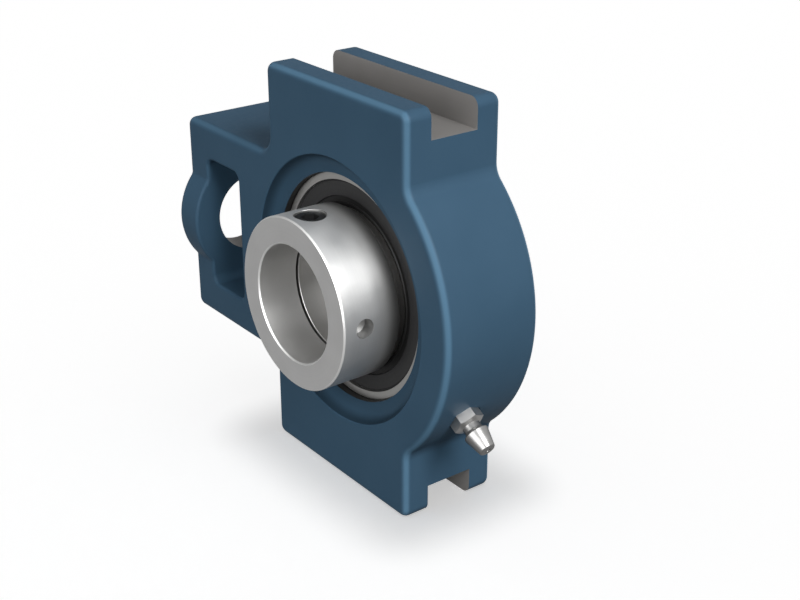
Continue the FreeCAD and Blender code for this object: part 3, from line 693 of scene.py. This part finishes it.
rubber = Finish("moulded_black_rubber", {"Specular IOR Level": 0.35})
moulding = rubber.rings(1500)
speckle = rubber.noise(1600, detail=3)
tone = rubber.mix(0.6 * moulding + 0.4 * speckle, RUBBER, RUBBER_PALE)
# The dish is painted darker, as painted shade beside the collar.
rubber.set("Base Color", rubber.mix(rubber.radius < (DISH_EDGE - 0.2) * MM, tone, RUBBER_DISH_SHADE))
rubber.set("Roughness", 0.4 + 0.2 * speckle)
rubber.bump(0.5 * moulding + 0.5 * speckle, distance=0.00002, strength=0.5)
seals = []
for node, way in (("front_seal", -1), ("rear_seal", 1)):
    corners = [
        (SEAL_BEAD, SEAL_INSIDE, 0), (SEAL_BEAD, SEAL_FACE, 0.12),
        (SEAL_BEAD - BEAD_WIDTH, SEAL_FACE - BEAD_GROOVE, 0.06), (SEAL_BEAD - 0.5, SEAL_FACE, 0.12),
        (DISH_EDGE, SEAL_FACE, 0.25), (DISH_EDGE - 0.15, DISH_FLOOR, 0.1),
        (RIDGE_RADIUS + RIDGE_HALF, DISH_FLOOR, 0.05), (RIDGE_RADIUS, DISH_FLOOR + RIDGE_HEIGHT, 0.12),
        (RIDGE_RADIUS - RIDGE_HALF, DISH_FLOOR, 0.05), (LIP_TIP, DISH_FLOOR, 0.1), (LIP_TIP, SEAL_INSIDE, 0),
    ]
    profile = round_corners(corners, steps=4) * [1, way]
    seal = turn_profile(f"{node}_rubber", profile)
    seal.data.materials.append(rubber.material)
    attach(seal, "insert")
    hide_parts(node)
    seals.append(seal)


# The locking collar is a turned steel ring whose recess is off centre. Turned on the cam it grips the shaft,
# and a set screw holds it. Its edges have chamfers with a painted highlight, and a pin spanner fits the small
# side hole.
COLLAR_RADIUS = 22.05
COLLAR_BACK = 10.5
COLLAR_FRONT = 26.7
COLLAR_BORE = 15.1
COLLAR_CHAMFER = 0.35
RECESS_END = 15.6
CAM_RECESS = 17.75
SCREW_PLACE = -20.7
SCREW_BORE = 4
SCREW_MOUTH = 4.1
MOUTH_DEPTH = 0.35
SPANNER_RADIUS = 2.5
SPANNER_DEPTH = 3.6
SPANNER_CONE = 0.8
CUTTER_END = COLLAR_RADIUS + 1.95
COLLAR_GREY = (0.57, 0.568, 0.56, 1)
COLLAR_PALE = (0.7, 0.697, 0.69, 1)
FACE_GREY = (0.58, 0.578, 0.574, 1)
FACE_PALE = (0.7, 0.698, 0.694, 1)
HOLE_SHADE = (0.34, 0.34, 0.336, 1)
REAR_SHADE = (0.2, 0.2, 0.198, 1)
CHAMFER_HIGHLIGHT = (0.85, 0.85, 0.84, 1)
collar_profile = [
    (COLLAR_BORE + COLLAR_CHAMFER, -COLLAR_FRONT), (COLLAR_RADIUS - COLLAR_CHAMFER, -COLLAR_FRONT),
    (COLLAR_RADIUS, -COLLAR_FRONT + COLLAR_CHAMFER), (COLLAR_RADIUS, -COLLAR_BACK - COLLAR_CHAMFER),
    (COLLAR_RADIUS - COLLAR_CHAMFER, -COLLAR_BACK), (COLLAR_BORE, -COLLAR_BACK),
    (COLLAR_BORE, -COLLAR_FRONT + COLLAR_CHAMFER),
]
collar = turn_profile("locking_collar_steel", collar_profile, count=240)
recess_rows = [(0, -RECESS_END), (CAM_RECESS, -RECESS_END), (CAM_RECESS, 0), (0, 0)]
mouth_start = COLLAR_RADIUS - MOUTH_DEPTH
screw_hole_rows = [(0, 0), (SCREW_BORE, 0), (SCREW_BORE, mouth_start - SCREW_MOUTH + SCREW_BORE),
                   (SCREW_MOUTH, mouth_start), (SCREW_MOUTH, CUTTER_END), (0, CUTTER_END)]
spanner_floor = COLLAR_RADIUS - SPANNER_DEPTH
spanner_rows = [(0, spanner_floor - SPANNER_CONE), (SPANNER_RADIUS, spanner_floor),
                (SPANNER_RADIUS, CUTTER_END), (0, CUTTER_END)]
for name, rows, spin_axis, count, place in (
        ("cam_recess", recess_rows, "Y", 180, (0, 0, CAM_OFFSET)),
        ("screw_bore", screw_hole_rows, "Z", 64, (0, SCREW_PLACE, 0)),
        ("spanner_bore", spanner_rows, "X", 48, (0, SCREW_PLACE, 0))):
    cutter = turn_profile(name, rows, spin_axis, count, closed=False)
    cutter.data.transform(Matrix.Translation(Vector(place) * MM))
    combine(collar, cutter)
soften(collar, 20)

# The front's two chamfers carry a painted highlight, its face has a tone of its own, a shade paler than the
# sides, as painted light, and the sides are painted darker towards the seal, as painted shade.
turned_steel = Finish("turned_collar_steel", {"Metallic": 0.9})
lines = turned_steel.rings(9000)
smudge = turned_steel.noise(160, detail=3)
from_axis = turned_steel.radius * (1 / MM)
from_front = turned_steel.y * (1 / MM) + COLLAR_FRONT
outer_rim = (from_axis - from_front) > COLLAR_RADIUS - COLLAR_CHAMFER - 0.03
inner_rim = (from_axis + from_front) < COLLAR_BORE + COLLAR_CHAMFER + 0.03
bright = (outer_rim + inner_rim) * (from_front < 1)
marks = 0.55 * lines + 0.45 * smudge
side_tone = turned_steel.mix(marks, COLLAR_GREY, COLLAR_PALE)
face_tone = turned_steel.mix(marks, FACE_GREY, FACE_PALE)
# Painted shade and a painted dark reflection of the seal on the sides towards the rear.
side_tone = turned_steel.mix(turned_steel.ramp(from_front, 11.5, 15.8), side_tone, REAR_SHADE)
body_tone = turned_steel.mix(from_front < 0.01, side_tone, face_tone)
# Painted shade in the holes, the cam recess and on the rear face.
in_hole = (from_axis > COLLAR_BORE + 1) * (from_axis < COLLAR_RADIUS - 0.1) * (from_front > COLLAR_CHAMFER)
body_tone = turned_steel.mix(in_hole, body_tone, HOLE_SHADE)
# The front chamfers are painted near white, a painted highlight.
turned_steel.set("Base Color", turned_steel.mix(bright, body_tone, CHAMFER_HIGHLIGHT))
turned_steel.set("Roughness", 0.36 + 0.12 * smudge)
turned_steel.bump(lines, distance=0.00002, strength=1)
collar.data.materials.clear()
collar.data.materials.append(turned_steel.material)
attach(collar, "locking_collar")
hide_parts("locking_collar")


# The set screw is a black oxidised steel screw with a cup point and a hexagon socket. It is sunk in the
# collar's top and pressed down on the shaft.
SCREW_RADIUS = 3.95
SCREW_LOW = 15.4
SCREW_HIGH = 21.4
CUP_RADIUS = 1.8
CUP_DEPTH = 0.8
POINT_RADIUS = 2.95
TOP_CHAMFER = 0.4
SOCKET_MOUTH = 2.7
SOCKET_HALF = 2
SOCKET_FLOOR = 18.4
BLACK_OXIDE = (0.006, 0.006, 0.0065, 1)
BLACK_PALE = (0.014, 0.014, 0.015, 1)
screw_rows = [
    (0, SCREW_LOW + CUP_DEPTH), (CUP_RADIUS, SCREW_LOW), (POINT_RADIUS, SCREW_LOW),
    (SCREW_RADIUS, SCREW_LOW + SCREW_RADIUS - POINT_RADIUS), (SCREW_RADIUS, SCREW_HIGH - TOP_CHAMFER),
    (SCREW_RADIUS - TOP_CHAMFER, SCREW_HIGH), (SOCKET_MOUTH, SCREW_HIGH), (0, SCREW_HIGH),
]
set_screw = turn_profile("set_screw_black", screw_rows, spin_axis="Z", count=72, closed=False)


def along_z(x, y, depth):
    """An outline in x and y, carried along Z."""
    return np.stack([x, y, depth], -1)


def hexagon_outline(half_width, turn=0):
    """The corners of a hexagon as an outline without insets, at the radius half_width / cos 30 degrees."""
    angle = np.radians(np.arange(0, 360, 60) + turn)
    corners = np.stack([np.cos(angle), np.sin(angle)], 1) * half_width / math.cos(math.pi / 6)
    return np.hstack([corners, np.zeros((6, 2))])


socket_cutter = extrude_outline("socket", hexagon_outline(SOCKET_HALF),
                                [(0, SOCKET_FLOOR), (0, SCREW_HIGH + OVERLAP)], along_z)
combine(set_screw, socket_cutter)
soften(set_screw)
set_screw.data.transform(Matrix.Translation((0, SCREW_PLACE * MM, 0)))
oxide = Finish("black_oxide", {"Metallic": 0.4})
oxide_haze = oxide.noise(1200, detail=3)
oxide.set("Base Color", oxide.mix(oxide_haze, BLACK_OXIDE, BLACK_PALE))
oxide.set("Roughness", 0.35 + 0.25 * oxide_haze)
set_screw.data.materials.clear()
set_screw.data.materials.append(oxide.material)
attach(set_screw, "set_screw")
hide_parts("set_screw")


# The grease nipple is bright zinc plated steel, screwed into the casting: a stud, a hexagon, a neck and a
# tapered head whose mouth the check ball closes.
STUD_RADIUS = 3
STUD_LENGTH = 5.5
STUD_CHAMFER = 0.5
STUD_HOLE = 0.75
HEXAGON_HEIGHT = 2.9
HEXAGON_HALF = 3.5
CROWN_SLOPE = math.tan(math.radians(20))
NECK = 2.3
NECK_LENGTH = 1.5
HEAD_CONE = 0.8
HEAD_LENGTH = 5.15
HEAD_RADIUS = 3.25
TIP_RADIUS = 2.1
MOUTH_RADIUS = 0.7
BALL_CHAMBER = 1.2
CHAMBER_DEPTH = 8
HEXAGON_TOP = NIPPLE_SEAT + HEXAGON_HEIGHT
HEAD_START = HEXAGON_TOP + NECK_LENGTH
HEAD_WIDEST = HEAD_START + HEAD_CONE
TIP = HEAD_WIDEST + HEAD_LENGTH
ZINC = (0.2, 0.199, 0.196, 1)
ZINC_PALE = (0.36, 0.358, 0.352, 1)
ZINC_HEAD_HIGHLIGHT = (0.5, 0.497, 0.49, 1)
nipple_corners = [
    (STUD_HOLE, NIPPLE_SEAT - STUD_LENGTH, 0), (STUD_RADIUS - STUD_CHAMFER, NIPPLE_SEAT - STUD_LENGTH, 0.1),
    (STUD_RADIUS, NIPPLE_SEAT - STUD_LENGTH + STUD_CHAMFER, 0.1),
    (STUD_RADIUS, HEXAGON_TOP - OVERLAP, 0), (NECK, HEXAGON_TOP - OVERLAP, 0), (NECK, HEAD_START, 0.3),
    (HEAD_RADIUS, HEAD_WIDEST, 0.35), (TIP_RADIUS, TIP - 0.3, 0.15), (TIP_RADIUS - 0.3, TIP, 0.15),
    (MOUTH_RADIUS, TIP, 0.08), (MOUTH_RADIUS, TIP - 0.5, 0), (BALL_CHAMBER, TIP - 1, 0),
    (BALL_CHAMBER, TIP - CHAMBER_DEPTH, 0), (STUD_HOLE, TIP - CHAMBER_DEPTH, 0),
]
nipple = turn_profile("nipple_zinc", round_corners(nipple_corners), spin_axis="nipple", count=72)

# The hexagon's outer end is a shallow cone down to the neck.
hexagon = extrude_outline("hexagon", hexagon_outline(HEXAGON_HALF, turn=30),
                          [(0, NIPPLE_SEAT), (0, HEXAGON_TOP)], on_nipple_axis)
crown_reach = HEXAGON_HALF / math.cos(math.pi / 6) + OVERLAP
crown_rows = [(2, NIPPLE_SEAT - OVERLAP), (crown_reach, NIPPLE_SEAT - OVERLAP),
              (crown_reach, HEXAGON_TOP - (crown_reach - NECK) * CROWN_SLOPE), (NECK, HEXAGON_TOP),
              (2, HEXAGON_TOP)]
combine(hexagon, turn_profile("crown", crown_rows, spin_axis="nipple", count=72), "INTERSECT")
combine(nipple, hexagon, "UNION")
soften(nipple, 25)
zinc = Finish("bright_zinc", {"Metallic": 0.95})
zinc_haze = zinc.noise(500, detail=3)
along = (zinc.x * math.cos(NIPPLE_ANGLE) + zinc.z * math.sin(NIPPLE_ANGLE)) * (1 / MM)
# The neck and head are painted paler than the hexagon, a painted highlight.
zinc.set("Base Color", zinc.mix(along < HEXAGON_TOP, zinc.mix(zinc_haze, ZINC, ZINC_PALE), ZINC_HEAD_HIGHLIGHT))
zinc.set("Roughness", 0.26 + 0.14 * zinc_haze)
nipple.data.materials.clear()
nipple.data.materials.append(zinc.material)
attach(nipple, "housing")
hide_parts("nipple_body")
dress("nipple_ball", ball_steel)


# The spring behind the check ball is a coil of drawn steel wire, laid in the nipple's bore, built at one
# length.
COIL_RADIUS = 0.85
WIRE_RADIUS = 0.15
COIL_TURNS = 5
COIL_PLAY = 0.03
COIL_LOW = TIP - CHAMBER_DEPTH + WIRE_RADIUS + COIL_PLAY
COIL_HIGH = 52.01
BALL_TRAVEL = 0.8


def coil_wire(name, radius, wire, low, high, turns):
    """A helix of wire on the nipple's axis: its middle line is (r cos a, r sin a) at a level that grows
    with a, and each ring of the wire lies across that line."""
    steps_a_turn, wire_sides = 40, 12
    angle = np.linspace(0, 2 * math.pi * turns, steps_a_turn * turns + 1)[:, None]
    around = np.linspace(0, 2 * math.pi, wire_sides, endpoint=False)[None, :]
    pitch = (high - low) / (2 * math.pi * turns)
    length = math.hypot(radius, pitch)
    reach = radius + wire * np.cos(around)
    lift = wire * np.sin(around)
    across = reach * np.cos(angle) + lift * pitch / length * np.sin(angle)
    up = reach * np.sin(angle) - lift * pitch / length * np.cos(angle)
    level = low + pitch * angle + lift * radius / length
    points = on_nipple_axis(across, up, level).reshape(-1, 3)
    return new_piece(name, points, grid_faces(*across.shape) + closing_faces(*across.shape))


coil = coil_wire("nipple_spring_wire", COIL_RADIUS, WIRE_RADIUS, COIL_LOW, COIL_HIGH, COIL_TURNS)
coil.data.materials.append(ring_steel.material)
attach(coil, "housing")
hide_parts("nipple_spring")
coil_end = on_nipple_axis(*np.array([[0], [0], [COIL_LOW - WIRE_RADIUS]]))[0] * MM
coil_length = COIL_HIGH - COIL_LOW + 2 * WIRE_RADIUS
1 - BALL_TRAVEL / coil_length
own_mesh(coil)


# The studio is a white floor with a painted shadow round the object's foot, and soft square lamps at the
# right, the front, the back and above. The background is white to the camera and lights the object more
# weakly.
FLOOR_SIZE = 3
GLOW_FAR = (0.79, 0.79, 0.79, 1)
GLOW_IN_PAINTED_SHADOW = (0.5, 0.5, 0.5, 1)
PAINTED_SHADOW_REACH = 0.022
FLOOR_REFLECTED = 0.45
FLOOR_SHADE = (0.95, 0.95, 0.95, 1)
FLOOR_DIM = (0.05, 0.05, 0.05, 1)
BLACK = (0, 0, 0, 1)
WHITE = (1, 1, 1, 1)
AMBIENT = 0.22
VIEW_AZIMUTH = math.radians(52.523)
VIEW_ELEVATION = math.radians(24.338)
VIEW_DISTANCE = 0.34443
LOOK_AT = Vector((0.008426, 0, -0.003131))
LENS = 61.82

scene = bpy.context.scene
floor_mesh = bpy.data.meshes.new("floor")
floor_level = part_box("housing")[0].z
floor_corners = [(x * FLOOR_SIZE, y * FLOOR_SIZE, floor_level) for x, y in square.tolist()]
floor_mesh.from_pydata(floor_corners, [], [(0, 1, 2, 3)])
floor = bpy.data.objects.new("floor", floor_mesh)
scene.collection.objects.link(floor)


def seen(shading, glossy_share):
    """1 for a ray of the camera or a refraction, a share for a reflection, and 0 for a ray that only lights
    something."""
    camera_ray = shading.add("ShaderNodeLightPath", out="Is Camera Ray")
    glossy, through = (shading.other(camera_ray, name) for name in ("Is Glossy Ray", "Is Transmission Ray"))
    return camera_ray + through + glossy * glossy_share


# The floor glows for the camera, least beside the block's foot as a painted shadow, and more dimly for
# reflections.
paper = Finish("white_floor", {"Roughness": 0.9, "Specular IOR Level": 0.0, "Emission Strength": 1})
camera_ray = paper.add("ShaderNodeLightPath", out="Is Camera Ray")
paper.set("Base Color", paper.mix(camera_ray, FLOOR_DIM, FLOOR_SHADE))
beside = (abs(paper.x) - BLOCK_SIDE * MM).at_least(0)
before = (abs(paper.y) - HALF_BODY * MM).at_least(0)
away_from_foot = (beside * beside + before * before) ** 0.5
# A painted shadow round the block's foot: the glow is least there.
glow_with_painted_shadow = paper.mix(paper.ramp(away_from_foot, 0, PAINTED_SHADOW_REACH), GLOW_IN_PAINTED_SHADOW, GLOW_FAR)
paper.set("Emission Color", paper.mix(seen(paper, FLOOR_REFLECTED), BLACK, glow_with_painted_shadow))
floor.data.materials.append(paper.material)

# Reflections see the background dim towards the screw end, which shades the bright steel from one side.
world = bpy.data.worlds.new("studio")
world.use_nodes = True
scene.world = world
sky = Shading(world.node_tree)
background = sky.tree.nodes["Background"]
background.inputs["Color"].default_value = WHITE
towards = sky.add("ShaderNodeSeparateXYZ", None, sky.add("ShaderNodeTexCoord", out="Generated"))
sky_level = AMBIENT + (1 - AMBIENT) * seen(sky, sky.ramp(towards, -0.8, 0.2))
sky.tree.links.new(sky_level.socket, background.inputs["Strength"])


def add_lamp(name, place, size, power, leave_out):
    """A square area lamp that looks at the object's middle and leaves some pieces out."""
    lamp = bpy.data.lights.new(name, "AREA")
    lamp.shape = "SQUARE"
    lamp.size = size
    lamp.energy = power
    holder = bpy.data.objects.new(name, lamp)
    scene.collection.objects.link(holder)
    unlit = bpy.data.collections.new(f"not_lit_by_{name}")
    for piece in leave_out:
        unlit.objects.link(piece)
    for member in unlit.collection_objects:
        member.light_linking.link_state = "EXCLUDE"
    holder.light_linking.receiver_collection = unlit
    holder.location = place
    holder.rotation_euler = (-Vector(place)).to_track_quat("-Z", "Y").to_euler()
    return holder


# The lamps leave the floor out, so that it keeps its soft shade. The back light shows in no reflection, where
# it would glare on the top faces, and the light from above is for the collar and the inner ring.
add_lamp("right_light", (0.82, -0.05, 0.66), 0.5, 14, [floor])
add_lamp("front_light", (0.3, -0.93, 0.2), 0.9, 10.5, [floor])
back_light = add_lamp("back_light", (-0.6, 0.8, 0.05), 0.9, 9, [floor])
back_light.visible_glossy = False
add_lamp("steel_light", (0.1, -0.05, 1.0), 0.9, 5, [floor, housing, outer_ring, nipple, *seals])

camera = bpy.data.objects.new("camera", bpy.data.cameras.new("camera"))
scene.collection.objects.link(camera)
level_reach = math.cos(VIEW_ELEVATION)
away = Vector((math.sin(VIEW_AZIMUTH) * level_reach, -math.cos(VIEW_AZIMUTH) * level_reach,
               math.sin(VIEW_ELEVATION)))
camera.location = LOOK_AT + away * VIEW_DISTANCE
camera.rotation_euler = (-away).to_track_quat("-Z", "Y").to_euler()
camera.data.lens = LENS
camera.data.clip_start = 0.01
scene.camera = camera
scene.view_settings.view_transform = "Standard"
